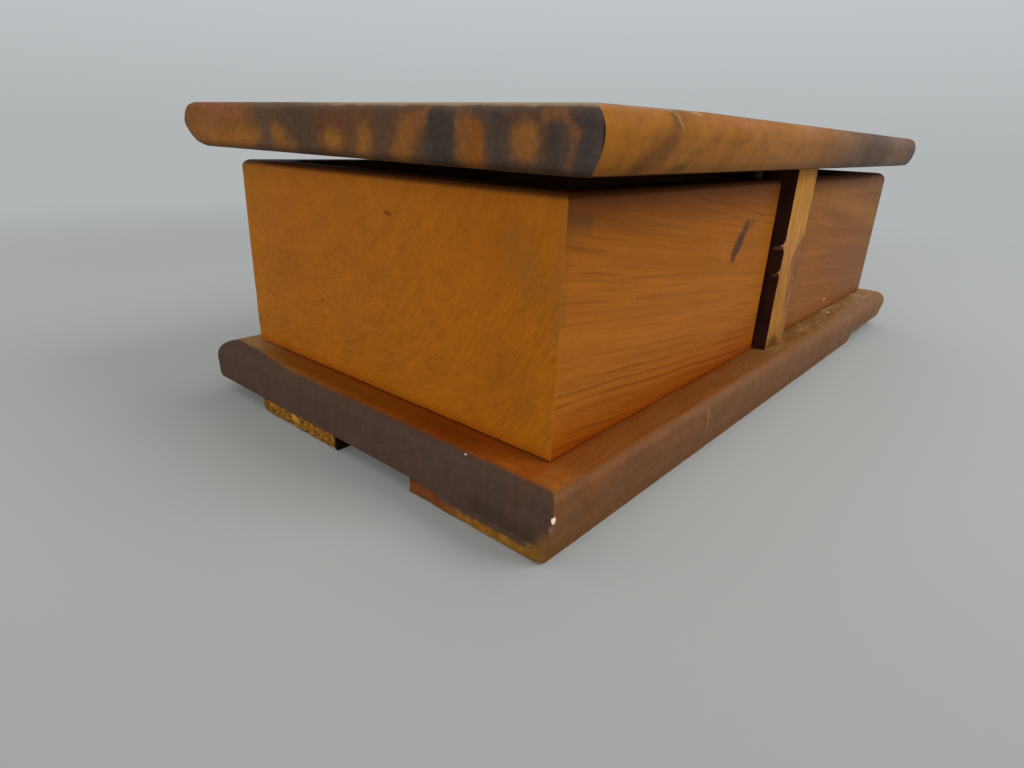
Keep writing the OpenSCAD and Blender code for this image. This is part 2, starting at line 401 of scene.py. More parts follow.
def base_finish():
    wood = Finish("base_wood")
    spot = wood.own_spots()
    x, y = wood.split(spot)[:2]
    from_side = wood.minus(base_high.x / MM, wood.distance(x))
    from_end = wood.minus(base_high.y / MM, wood.distance(y))
    grown = wood.growth(spot, (18, -52), lean=1.2, wander=3, seed=4)
    fine = wood.streak(grown, (0.7, 5, 30))
    top = wood.shade(tint(112, 58, 18), fine, 0.72, 1.3)
    top = wood.over(top, (78, 36, 10), wood.rings(grown, 2.1), 0.3)
    # The strip beside the trays: its colours are partly painted light, orange bounce from the trays at the
    # front and a pale painted sheen towards the rear.
    strip = wood.along(y, [(-124, 122, 68, 22), (-60, 116, 66, 24), (-20, 115, 75, 35), (40, 115, 77, 36),
                           (80, 126, 92, 56), (124, 136, 102, 66)])
    strip = wood.shade(strip, wood.streak(spot, (1.0, 12, 1), 4, 0.6), 0.88, 1.12)
    strip = wood.shade(strip, wood.cloud(spot, 1.2, 4, 0.7), 0.88, 1.12)
    top = wood.over(top, strip, wood.fade(x, 49, 56), 0.85)
    # The ledge before the front tray: its deep orange is partly painted bounce light from the tray.
    ledge = wood.along(x, [(-64, 130, 94, 52), (-34, 122, 75, 22), (-15, 120, 65, 8), (12, 121, 60, 4),
                           (32, 113, 48, 2), (46, 128, 62, 8), (60, 134, 76, 26)])
    ledge = wood.shade(ledge, wood.streak(spot, (10, 1.3, 1), 4, 0.6), 0.86, 1.14)
    ledge = wood.shade(ledge, wood.cloud(spot, 1.3, 4, 0.7), 0.88, 1.12)
    top = wood.over(top, ledge, wood.fade(y, -112, -116), 0.85)
    # Painted bounce light: warm orange on the base top where the front tray throws light on it, along its
    # foot and beside its right side.
    painted_bounce_light = wood.times(wood.fade(y, -117.2, -115), wood.fade(y, -112, -114), wood.fade(x, 50, 44))
    top = wood.over(top, (132, 54, 4), painted_bounce_light, 0.5)
    painted_bounce_light = wood.times(wood.fade(x, 57, 54.8), wood.fade(x, 51, 53), wood.fade(y, -10, -20))
    top = wood.over(top, (124, 52, 8), painted_bounce_light, 0.45)
    speckle = wood.fade(wood.streak(spot, (4, 12, 4), 4, 0.65), 0.48, 0.68)
    speckle = wood.times(speckle, wood.fade(y, -60, 90, 0.08, 0.8), wood.fade(x, 30, 52, 0.3, 1))
    top = wood.over(top, (158, 124, 80), speckle)
    grit = wood.fade(wood.cloud(spot, 1.2, 4, 0.75), 0.5, 0.66)
    top = wood.over(top, (156, 124, 80), grit, wood.fade(y, -20, 30), wood.fade(x, 48, 54), 0.5)
    dust = wood.spot(wood.stir(spot, 5, 5), (-55, -117, 15.5), 13, 0.6, (0.7, 1.6, 0.2))
    top = wood.over(top, (146, 112, 58), dust, 0.5)
    side = side_stain(wood, spot)
    end = end_stain_and_sheen(wood, spot)
    ragged = wood.cloud(spot, 4, 4, 0.6)
    side_start = wood.shake(wood.plus(from_side, wood.fade(y, 10, 110, 0, -1.8)), ragged, 0.6)
    side_near = wood.fade(side_start, 1.9, 1.1)
    end_start = wood.shake(wood.plus(from_end, wood.fade(x, -20, -56, 0, -2.2)), ragged, 1.0)
    end_near = wood.fade(end_start, 2.7, 1.2)
    end_wins = wood.fade(wood.minus(from_side, from_end), -0.1, 0.1)
    colour = wood.over(top, side, side_near)
    colour = wood.over(colour, end, end_near, end_wins)
    worn = wood.stir(spot, 1.6, 1.6)
    dark = wood.mark(worn, (44, -124, 5.5), (58.5, -124, 4.6), 4.2, 0.9)
    colour = wood.over(colour, (46, 34, 29), dark, 0.5)
    corner = wood.spot(worn, (63.4, -123.4, 3.4), 4.8, 0.7, (0.9, 0.7, 0.8))
    colour = wood.over(colour, (110, 74, 34), corner, 0.85)
    rubbed = wood.spot(worn, (63.2, -124, 8.6), 1.7, 0.8, (1.8, 1.8, 0.8))
    colour = wood.over(colour, (140, 100, 80), rubbed, 0.6)
    scratch = wood.mark(spot, (63.5, -61.3, 14.5), (63.0, -58.7, 5.2), 0.45, 0.8)
    colour = wood.over(colour, (172, 138, 110), scratch, 0.45)
    for centre, size, stretch in BASE_SPECKS:
        colour = wood.over(colour, (228, 214, 194), wood.spot(spot, centre, size, 0.35, stretch))
    wood.relief(wood.plus(wood.times(fine, 0.6), wood.times(wood.cloud(spot, 0.5, 2), 0.4)), 0.1)
    return wood.lay(colour, wood.fade(wood.cloud(spot, 9, 4), 0.3, 0.75, 0.48, 0.7))


base_low, base_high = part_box("base_board")
board = plank(base_low, base_high)
plane_round(board, base_low, base_high, LEFT, UP, BASE_LEFT_TOP_ROUND)
plane_round(board, base_low, base_high, RIGHT, UP, BASE_RIGHT_TOP_ROUND)
plane_round(board, base_low, base_high, FRONT, UP, BASE_FRONT_TOP_ROUND)
plane_round(board, base_low, base_high, REAR, UP, BASE_REAR_TOP_ROUND)
plane_round(board, base_low, base_high, LEFT, DOWN, BASE_LEFT_FOOT_ROUND, 4)
plane_off(board, Vector((base_high.x, 0, PLANED_FROM)), Vector((PLANED_FROM, 0, -PLANED_IN)))
for axis, gap in enumerate((2.2, 2.2, 2.3)):
    score(board, axis, gap * MM)
rods = [rod_place("front_pivot_rod"), rod_place("rear_pivot_rod")]
bits = [drill(x, y, low - 0.5 * MM, base_high.z + MM, r + BORE_PLAY) for x, y, low, high, r in rods]
board = cut_away(board, bits)
rub(board, base_low + DOWN * JOINT_HIDE, base_high,
    all_over=0.05 * MM, at_edges=0.35 * MM, reach=2.5 * MM, seed=3.1)
base = as_piece(board, "base_plank", base_finish())
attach(base, "frame")
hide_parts("base_board")


# Runners: two thin slips of raw wood, glued and pinned under the base for it to stand on. The
# right one is as long as the left but wider, and was planed flush with the edge of the base,
# so its outer side took the same stain.
LEFT_RUNNER_ROUND = 2.5 * MM
LEFT_RUNNER_FRONT_ROUND = 0.6 * MM
RIGHT_RUNNER_FRONT_ROUND = 0.5 * MM
# The right one's worn near corner: how deep each flat is cut there, and which way it faces.
WORN_CORNER = ((0.9 * MM, (1, -1, -0.6)), (1.1 * MM, (1, -1, -1.6)))


def slip_finish(name, stained):
    wood = Finish(name)
    spot = wood.own_spots()
    x, y, z = wood.split(spot)
    fibre = wood.streak(spot, (1.3, 11, 1.3), 4, 0.7)
    colour = wood.bands(fibre, [(0.28, tint(84, 52, 14)), (0.46, tint(122, 80, 24)),
                                (0.62, tint(144, 98, 34)), (0.75, tint(176, 132, 56))])
    fleck = wood.fade(wood.streak(spot, (1.7, 1.7, 1.2), 4, 0.65, shift=(3, 0, 1)), 0.53, 0.61)
    colour = wood.over(colour, (78, 46, 12), fleck, 0.5 if stained else 0.7)
    if stained:
        uneven = wood.cloud(spot, 4, 4, 0.6)
        colour = wood.over(colour, (112, 76, 24), 0.35)
        redder = wood.shade(tint(102, 52, 26), fibre, 0.8, 1.2)
        inner = wood.fade(wood.shake(x, uneven, 10), 42, 34)
        colour = wood.over(colour, redder, inner, 0.9)
        upper = wood.fade(wood.shake(wood.plus(z, wood.fade(x, 36, 30, 0, -1)), uneven, 1.6), 1.9, 2.9)
        upper = wood.times(upper, wood.fade(wood.shake(x, uneven, 6), 60, 56, 0.25, 1))
        colour = wood.over(colour, end_stain_and_sheen(wood, spot), upper)
        outer = wood.fade(x, 59.8, 60.4)
        behind = wood.fade(y, -123.2, -122.6)
        colour = wood.over(colour, side_stain(wood, spot), outer, behind)
        corner = wood.spot(wood.stir(spot, 1.6, 1.6), (61.8, -123.6, 2.5), 4.8, 0.6, (0.9, 0.7, 0.8))
        colour = wood.over(colour, (106, 72, 32), corner, 0.8)
    else:
        bright = wood.spot(wood.stir(spot, 2, 2), (-22, -124, 2.8), 2.4, 0.7, (0.8, 1, 1.6))
        colour = wood.over(colour, (196, 150, 58), bright, 0.6)
        # Painted shade: right of x = -4 mm, which on the left slip is its inner side, the wood is painted
        # near black for the deep shade under the base.
        colour = wood.over(colour, (24, 16, 10), wood.fade(wood.shake(x, fibre, 1), -4.6, -4.0))
    wood.relief(wood.plus(fibre, wood.times(fleck, -0.5)), 0.15 if stained else 0.5)
    return wood.lay(colour, wood.fade(fibre, 0.3, 0.7, 0.6, 0.8))


def runner(node, name, finish, right):
    low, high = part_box(node)
    slip = plank(low, high + RIGHT * PLANED_IN if right else high)
    if right:
        plane_off(slip, Vector((base_high.x, 0, PLANED_FROM)), Vector((PLANED_FROM, 0, -PLANED_IN)))
        plane_round(slip, low, high, FRONT, DOWN, RIGHT_RUNNER_FRONT_ROUND, 3)
        for deep, facing in WORN_CORNER:
            lean = Vector(facing).normalized()
            plane_off(slip, Vector((high.x, low.y, low.z)) - lean * deep, lean)
    else:
        plane_round(slip, low, high, LEFT, DOWN, LEFT_RUNNER_ROUND, 5)
        plane_round(slip, low, high, FRONT, DOWN, LEFT_RUNNER_FRONT_ROUND, 3)
    score(slip, 0, 1.3 * MM)
    score(slip, 1, 2.5 * MM)
    score(slip, 1, 0.6 * MM, low.y, low.y + 3 * MM)
    score(slip, 2, 0.8 * MM)
    rub(slip, low, high + UP * JOINT_HIDE, all_over=0.04 * MM, reach=2 * MM,
        at_edges=0.5 * MM if right else 0.9 * MM, seed=7.7 if right else 1.3)
    piece = as_piece(slip, name, finish)
    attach(piece, "frame")
    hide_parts(node)


runner("left_runner", "left_slip", slip_finish("left_slip_wood", False), False)
runner("right_runner", "right_slip", slip_finish("right_slip_wood", True), True)


# Divider: a board standing across the middle of the base, screwed from below, its faces dark
# maroon, painted near black for the deep shade they stand in, and its two ends left raw from the
# saw. At the right end a long sliver has split off on the rear side, low down, and the front edge
# is chipped.
# Its chips: height and size. Then how far in from the ends the saw marks reach.
DIVIDER_CHIPS = ((47.8, 1.2), (39.9, 0.7))
SAWN_REACH = 3.3 * MM
# How far to the rear the split starts, at heights from the foot up.
DIVIDER_SPLIT = ((15.5, 5.6), (24, 3.6), (31.3, 1.4), (39.1, -0.4), (44.4, 1.8), (48.2, 6.8), (50.5, 9.5))


def divider_finish():
    wood = Finish("divider_wood")
    spot = wood.own_spots()
    y, z = wood.split(spot)[1:]
    lines = wood.streak(spot, (3.5, 1.1, 8), 4, 0.6)
    wide = wood.streak(spot, (20, 6, 13))
    raw = wood.along(z, [(15, 138, 92, 40), (24, 158, 108, 48), (40, 156, 106, 52), (47, 162, 112, 62),
                         (53, 172, 120, 58), (70, 178, 124, 56)])
    raw = wood.shade(raw, lines, 0.82, 1.16)
    raw = wood.shade(raw, wide, 0.88, 1.1)
    raw = wood.shade(raw, wood.cloud(spot, 0.9, 4, 0.75), 0.91, 1.09)
    stirred = wood.stir(spot, 3, 2)
    across, up = wood.split(stirred)[1:]
    foot_z, head_z = DIVIDER_SPLIT[0][0], DIVIDER_SPLIT[-1][0]
    up_split = wood.sum("DIVIDE", wood.minus(up, foot_z), head_z - foot_z)
    stops = [((at - foot_z) / (head_z - foot_z), (y_at + 10) / 20) for at, y_at in DIVIDER_SPLIT]
    line = wood.bands(up_split, stops)
    past = wood.minus(across, wood.sum("MULTIPLY_ADD", line, 20, -10))
    torn = wood.shade(tint(128, 88, 54), wood.streak(spot, (2, 0.7, 5), 4, 0.65, shift=(0, 3, 0)), 0.7, 1.4)
    raw = wood.over(raw, torn, wood.fade(past, -0.2, 0.5), wood.fade(z, 17, 30, 0.5, 1))
    groove = wood.times(wood.fade(past, -0.5, 0.0), wood.fade(past, 0.6, 0.1), wood.fade(z, 24, 32))
    raw = wood.over(raw, (84, 54, 30), groove, 0.7)
    foot = wood.spot(stirred, (57.5, -2.5, 16.2), 4.4, 0.6, (0.3, 0.7, 1.2))
    raw = wood.over(raw, (70, 44, 22), foot, 0.7)
    # Painted shade: the faces are dark maroon, painted near black for the deep shade in the slots beside the
    # trays.
    face = wood.shade(tint(40, 18, 9), wood.streak(spot, (6, 2, 12)), 0.7, 1.3)
    ragged = wood.streak(spot, (1.5, 1.5, 4), 4, 0.6)
    on_face = wood.fade(wood.shake(wood.distance(y), ragged, 0.3), half_thick - 0.35, half_thick - 0.1)
    colour = wood.over(raw, face, on_face)
    stirred = wood.stir(spot, 0.8, 0.7)
    for chip_z, size in DIVIDER_CHIPS:
        outer, inner = (57.6, -half_thick, chip_z - 0.4), (57.3 - 2.2 * size, -half_thick, chip_z - 1.1)
        chip = wood.mark(stirred, outer, inner, 0.7 * size, 0.8)
        colour = wood.over(colour, (98, 62, 42), chip, 0.7)
        outer, inner = (57.5, -half_thick, chip_z), (57.0 - 0.6 * size, -half_thick, chip_z - 0.2)
        chip = wood.mark(stirred, outer, inner, 0.24 * size, 0.6)
        colour = wood.over(colour, (176, 138, 104), chip, 0.8)
    wood.relief(lines, 0.25)
    return wood.lay(colour, wood.fade(on_face, 0, 1, 0.8, 0.5))


divider_low, divider_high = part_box("divider_board")
half_thick = divider_high.y / MM
board = plank(divider_low, divider_high)
score(board, 1, 0.6 * MM)
score(board, 2, 0.6 * MM)
score(board, 0, 0.5 * MM, divider_high.x - 3 * MM, divider_high.x)
score(board, 0, 0.5 * MM, divider_low.x, divider_low.x + 3 * MM)
score(board, 0, 6 * MM)
sawn = []
for v in board.verts:
    y, z = v.co.y / MM, v.co.z / MM
    saw = noise.noise(Vector((y * 0.8, z * 0.14, 2.0))) * 0.5
    saw += noise.noise(Vector((y * 2.2, z * 0.6, 5.0))) * 0.25
    take = 0.2 + 0.22 * saw
    if v.co.x > 0:
        for (z_a, y_a), (z_b, y_b) in zip(DIVIDER_SPLIT, DIVIDER_SPLIT[1:]):
            if z_a <= z < z_b:
                split_at = y_a + (y_b - y_a) * (z - z_a) / (z_b - z_a)
                split_at += 0.6 * noise.noise(Vector((z * 0.35, 1.0, 0.0)))
                if y > split_at:
                    torn = 0.25 + 0.04 * (y - split_at) + 0.3 * noise.noise(Vector((y * 0.8, z * 0.12, 9.0)))
                    take += max(0.0, min(1.0, (y - split_at) / 0.8) * torn)
        for chip_z, chip_size in DIVIDER_CHIPS:
            far = math.hypot(y + half_thick, (z - chip_z) * 0.7)
            take += max(0.0, 1 - far / chip_size) * 0.8
    edge = min(divider_high.x - v.co.x, v.co.x - divider_low.x) / SAWN_REACH
    side = math.copysign(1, v.co.x)
    sawn.append((v, Vector((-side * take * max(0.0, 1 - edge) * MM, 0, 0))))
for v, move in sawn:
    v.co += move
rub(board, divider_low, divider_high, all_over=0.02 * MM, at_edges=0.3 * MM, reach=1.2 * MM, seed=5.5)
divider = as_piece(board, "divider_plank", divider_finish(), corner=50)
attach(divider, "frame")
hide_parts("divider_board")


# Trays: each is one block of wood hollowed from above, with the rod's bore through the corner
# by the divider. The front one is orange brown and varnished, the rear one pinker and duller.
# The front one doesn't quite shut: it stands half a degree open.
TRAY_WALL = 8 * MM
TRAY_FLOOR = 6 * MM
HOLLOW_ROUND = 8 * MM
HOLLOW_FOOT_ROUND = 1.2 * MM
TRAY_TOP_ROUND = 1.5 * MM
TRAY_LEFT_TOP_ROUND = 3.4 * MM
TRAY_OUTER_TOP_ROUND = 3.2 * MM
TRAY_FOOT_ROUND = 0.3 * MM
TRAY_ARRIS_ROUND = 0.4 * MM
TRAY_BORE_PLAY = 0.08 * MM
FRONT_AJAR = 0.5
rear_low, rear_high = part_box("rear_tray")
# In millimetres, for the finishes: half the width and length of a tray, and how far off its middle lies.
TRAY_HALF_WIDE = rear_high.x / MM
TRAY_HALF_LONG = (rear_high.y - rear_low.y) / 2 / MM
TRAY_MIDDLE = (rear_high.y + rear_low.y) / 2 / MM


def tray_block(low, high, rod, seed):
    block = plank(low, high)
    for side in (FRONT, REAR, RIGHT):
        round_off = TRAY_OUTER_TOP_ROUND if low.y > 0 and side != FRONT else TRAY_TOP_ROUND
        plane_round(block, low, high, side, UP, round_off, 5)
    plane_round(block, low, high, LEFT, UP, TRAY_LEFT_TOP_ROUND, 6)
    for side in (FRONT, REAR, RIGHT, LEFT):
        plane_round(block, low, high, side, DOWN, TRAY_FOOT_ROUND, 2)
    for side in (FRONT, REAR):
        plane_round(block, low, high, side, RIGHT, TRAY_ARRIS_ROUND, 3)
        plane_round(block, low, high, side, LEFT, TRAY_ARRIS_ROUND, 3)
    for axis in range(3):
        score(block, axis, 1.7 * MM)
    room = plank(low + Vector((TRAY_WALL, TRAY_WALL, TRAY_FLOOR)),
                 high + Vector((-TRAY_WALL, -TRAY_WALL, 5 * MM)))
    upright = [e for e in room.edges if abs(e.verts[0].co.z - e.verts[1].co.z) > MM]
    bevel = {"profile": 0.5, "affect": "EDGES", "material": -1}
    bmesh.ops.bevel(room, geom=upright, offset=HOLLOW_ROUND, segments=12, **bevel)
    foot = [e for e in room.edges if all(abs(v.co.z - low.z - TRAY_FLOOR) < 1e-6 for v in e.verts)]
    bmesh.ops.bevel(room, geom=foot, offset=HOLLOW_FOOT_ROUND, segments=4, **bevel)
    bit = drill(rod[0], rod[1], low.z - MM, high.z + MM, rod[4] + TRAY_BORE_PLAY)
    block = cut_away(block, [room, bit])
    rub(block, low, high, all_over=0.04 * MM, at_edges=0.2 * MM, reach=1.6 * MM, seed=seed)
    return block


def hollow_shade(wood, spot, colour, middle):
    """Raw, darker wood inside the hollow."""
    x, y, z = wood.split(spot)
    half_wide, half_long = TRAY_HALF_WIDE - TRAY_WALL / MM, TRAY_HALF_LONG - TRAY_WALL / MM
    inside = wood.times(wood.fade(wood.distance(x), half_wide + 0.3, half_wide - 0.1),
                        wood.fade(wood.distance(y, middle), half_long + 0.25, half_long - 0.05),
                        wood.fade(z, rear_high.z / MM - 1, rear_high.z / MM - 2.2))
    raw = wood.shade(tint(96, 60, 30), wood.streak(spot, (1, 20, 1)), 0.8, 1.2)
    return wood.over(colour, raw, inside, 0.7)


def long_grain(wood, spot, slope, steeper, start_y, ripple, reach):
    """Heights along the grain of a side, which falls to the rear and steepens towards the top, and places
    that run with it."""
    x, y, z = wood.split(spot)
    bend = wood.times(wood.minus(y, start_y), wood.minus(z, 20), steeper)
    bent = wood.plus(z, wood.times(y, slope), bend)
    wave = wood.shake(bent, wood.streak(spot, (9, ripple, 9), 2), reach)
    return wave, wood.join(x, y, wave)


def front_tray_finish(rod):
    wood = Finish("front_tray_wood")
    pin = Vector((rod[0], rod[1], 0)) / MM
    shut = math.radians(-FRONT_AJAR)
    spot = wood.own_spots(turn=(0, 0, -FRONT_AJAR), shift=pin - Matrix.Rotation(shut, 3, "Z") @ pin)
    x, y, z = wood.split(spot)
    at_end = wood.fade(wood.distance(y, -TRAY_MIDDLE), TRAY_HALF_LONG - 0.35, TRAY_HALF_LONG - 0.15)
    right = wood.fade(x, TRAY_HALF_WIDE - 1, TRAY_HALF_WIDE - 0.4)
    patch = wood.cloud(spot, 22)

    grown = wood.growth(spot, (-36, 96), lean=0, wander=1.2, seed=2)
    short = wood.streak(wood.stir(grown, 5, 1.6), (0.6, 4.2, 60), 4, 0.65)
    broad = wood.streak(grown, (4, 20, 60), 3, 0.6)
    end = wood.along(x, [(-54, 146, 86, 15), (-30, 144, 82, 11), (0, 146, 84, 12), (40, 142, 80, 10),
                         (54, 144, 83, 12)])
    fainter = wood.times(wood.minus(short, 0.5), wood.fade(z, 60, 40, 0.4, 1))
    end = wood.shade(end, wood.plus(fainter, 0.5), 0.89, 1.11)
    end = wood.shade(end, broad, 0.94, 1.06)
    end = wood.shade(end, patch, 0.95, 1.05)
    end = wood.shade(end, wood.cloud(spot, 1.6, 5, 0.72), 0.94, 1.06)
    ring_here = wood.fade(wood.cloud(spot, 15, 2), 0.4, 0.65, 0, 0.22)
    end = wood.over(end, (104, 54, 14), wood.rings(grown, 3.3), ring_here)
    dash = wood.fade(wood.streak(grown, (0.4, 2, 12), 2, 0.5), 0.71, 0.78)
    end = wood.over(end, (84, 42, 12), dash, 0.3)
    flat = wood.place(wood.stir(spot, 1.5, 1.6), size=(1, 0, 1))
    end = wood.strokes(end, flat, 0, (
        (6, 58.3, 7.6, 58, 0.9, 0.9, 0.7, 86, 42, 12), (-20.4, 34, -19.8, 34, 0.6, 0.8, 0.7, 90, 46, 14),
        (-29, 24, -28.6, 24, 0.55, 0.8, 0.6, 90, 46, 14), (44, 56, 47.5, 50, 7, 1.0, 0.3, 112, 72, 30),
        (40, 34, 45, 28, 9, 1.0, 0.25, 120, 68, 14), (53.4, 62, 53.4, 40, 2.2, 0.9, 0.3, 122, 76, 34)))

    wave, bent = long_grain(wood, spot, slope=0.10, steeper=0.0012, start_y=-114, ripple=40, reach=2.4)
    thin = wood.streak(bent, (0.6, 30, 0.4), 4, 0.65)
    broad_side = wood.streak(bent, (4, 70, 2.6), 3, 0.6)
    # The side darkens from 56 mm up to the top: painted shadow of the lid.
    side = wood.along(z, [(15, 140, 62, 3), (20, 146, 74, 8), (28, 153, 88, 20), (42, 154, 90, 21),
                          (56, 146, 84, 16), (62, 126, 70, 14), (66.5, 100, 50, 14)])
    side = wood.shade(side, broad_side, 0.92, 1.1)
    side = wood.shade(side, thin, 1.07, 0.9)
    side = wood.shade(side, wood.cloud(spot, 1.2, 4, 0.7), 0.95, 1.05)
    here = wood.fade(wood.streak(spot, (8, 26, 5)), 0.34, 0.56)
    low_down = wood.plus(wood.fade(z, 36, 24, 0.35, 0.8), wood.fade(z, 46, 56, 0, 0.25))
    for gap in (2.3, 1.3):
        yearly = wood.times(wood.rings(wood.join(wave, 0, 0), gap), here, low_down, gap / 2.3)
        side = wood.over(side, (98, 48, 12), yearly)
    flat = wood.place(wood.stir(spot, 5, 1.6), size=(0, 1, 1))
    # The fourth row, dark at the top by the front end, is painted shadow of the lid.
    side = wood.strokes(side, flat, 1, (
        (-38.2, 47.6, -35, 51.4, 3.0, 0.7, 0.9, 78, 48, 34),
        (-37, 49.2, -32, 55, 2.2, 0.7, 0.85, 80, 48, 34), (-32, 55, -27.5, 55.8, 1.6, 0.9, 0.5, 92, 54, 30),
        (-114, 62, -108, 61, 3.0, 0.9, 0.5, 88, 56, 36),
        (-113.6, 60, -113.6, 44, 1.8, 0.9, 0.35, 112, 68, 28)), right)

    colour = wood.over(side, end, at_end)
    colour = wood.over(colour, (142, 62, 6), wood.fade(wood.shake(z, patch, 2), 18.5, 15.9, 0, 0.5))
    # Painted shadow of the lid: a dark band along the top of the tray.
    colour = wood.over(colour, (64, 38, 18), wood.fade(wood.shake(z, short, 1.2), 64.5, 65.7, 0, 0.75))
    colour = hollow_shade(wood, spot, colour, -TRAY_MIDDLE)
    wood.relief(wood.plus(wood.times(short, 0.4), wood.times(thin, -0.3), dash), 0.06)
    return wood.lay(colour, wood.fade(patch, 0.3, 0.7, 0.42, 0.55))


def rear_tray_finish():
    wood = Finish("rear_tray_wood")
    spot = wood.own_spots()
    y, z = wood.split(spot)[1:]
    at_end = wood.fade(wood.distance(y, TRAY_MIDDLE), TRAY_HALF_LONG - 0.35, TRAY_HALF_LONG - 0.15)
    patch = wood.cloud(spot, 16)
    grown = wood.growth(spot, (-40, -38), lean=0, wander=2.0, seed=9)
    end = wood.shade(tint(126, 80, 46), wood.streak(grown, (0.6, 7, 60), 3, 0.6), 0.86, 1.14)
    wave, bent = long_grain(wood, spot, slope=0.08, steeper=0.0010, start_y=11, ripple=36, reach=3)
    thin = wood.streak(bent, (0.7, 40, 0.5), 4, 0.65)
    side = wood.along(y, [(10, 134, 84, 38), (60, 129, 80, 40), (115, 122, 82, 47)])
    side = wood.shade(side, wood.streak(bent, (4, 60, 2.4), 3, 0.6), 0.9, 1.1)
    side = wood.shade(side, thin, 1.06, 0.92)
    here = wood.fade(wood.streak(spot, (8, 26, 5), 2), 0.36, 0.6)
    side = wood.over(side, (92, 54, 28), wood.rings(wood.join(wave, 0, 0), 2.7), here, 0.4)
    side = wood.shade(side, wood.cloud(spot, 1.3, 4, 0.75), 0.93, 1.07)
    flat = wood.place(wood.stir(spot, 9, 5), size=(0, 1, 1))
    # The second row, grey brown at the top towards the rear end, is a painted sheen.
    side = wood.strokes(side, flat, 1, (
        (42, 59, 116, 48, 6, 0.95, 0.45, 144, 98, 42), (96, 62, 116, 58, 6, 0.9, 0.4, 110, 80, 56),
        (60, 32, 112, 28, 9, 0.9, 0.35, 122, 76, 50), (58, 64, 92, 63.5, 3, 0.9, 0.4, 104, 66, 40)))
    colour = wood.over(side, end, at_end)
    colour = wood.shade(colour, patch, 0.92, 1.08)
    colour = wood.over(colour, (122, 64, 24), wood.fade(wood.shake(z, patch, 4), 21, 16, 0, 0.55))
    # Painted shadow of the lid: a dark band along the top of the tray.
    colour = wood.over(colour, (84, 52, 30), wood.fade(wood.shake(z, patch, 3), 60, 66, 0, 0.75))
    speck = wood.spot(spot, (TRAY_HALF_WIDE, 60.7, 20.2), 0.8, 0.6, (0.3, 0.7, 1.2))
    colour = wood.over(colour, (210, 172, 130), speck)
    colour = hollow_shade(wood, spot, colour, TRAY_MIDDLE)
    wood.relief(wood.plus(wood.times(thin, 0.5), wood.times(patch, 0.2)), 0.06)
    return wood.lay(colour, wood.fade(patch, 0.3, 0.7, 0.46, 0.6))


front_low = Vector((rear_low.x, -rear_high.y, rear_low.z))
front_high = Vector((rear_high.x, -rear_low.y, rear_high.z))
block = tray_block(front_low, front_high, rods[0], 2.2)
ajar = Matrix.Rotation(math.radians(FRONT_AJAR), 3, "Z")
bmesh.ops.rotate(block, cent=(rods[0][0], rods[0][1], 0), matrix=ajar, verts=block.verts)
rear_block = tray_block(rear_low, rear_high, rods[1], 8.4)
for node, block, finish in (("front_tray", block, front_tray_finish(rods[0])),
                            ("rear_tray", rear_block, rear_tray_finish())):
    tray = as_piece(block, node + "_block", finish)
    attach(tray, node)
    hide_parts(node)


# Lid: a board of the size of the base, cut from wood with dark stripes, rounded over along
# both sides and polished, its ends left crisp. It sits on two dowels in the divider, a little
# off square.
LID_WIDE = 127 * MM
LID_LONG = 248 * MM
LID_SKEW = 1.4
LID_END_TOP_ROUND = 1.5 * MM
LID_END_FOOT_ROUND = 1.8 * MM
# The outlines of the two long edges, from the foot up: millimetres in from the edge, and up from the foot.
LID_LEFT_EDGE = ((8.8, 0), (6.3, 0.9), (3.4, 2.6), (1.4, 4.2), (0.5, 5.2), (0.2, 6.1), (0.6, 7.4),
                 (1.6, 8.9), (3.0, 10.0), (4.8, 10.9))
LID_RIGHT_EDGE = ((4.2, 0), (2.2, 0.4), (1.3, 1.5), (0.5, 3.4), (0.1, 5.2), (0.0, 6.6), (0.2, 8.0),
                  (0.9, 9.6), (1.9, 10.5), (3.2, 10.9))
LID_FRONT_THINNER = 0.6 * MM
LID_THINNER_FROM = -85 * MM
# Along the front end, from the left: the brown between the marks, at millimetres from the middle.
LID_END_BROWNS = ((-63.5, 100, 60, 28), (-56, 116, 71, 29), (-35, 113, 69, 27), (-28, 85, 59, 38),
                  (-12, 70, 51, 37), (4, 85, 56, 34), (14, 77, 54, 38), (22, 85, 57, 36), (29, 62, 50, 42),
                  (42, 69, 53, 43), (54, 70, 53, 42), (63.5, 64, 54, 50))
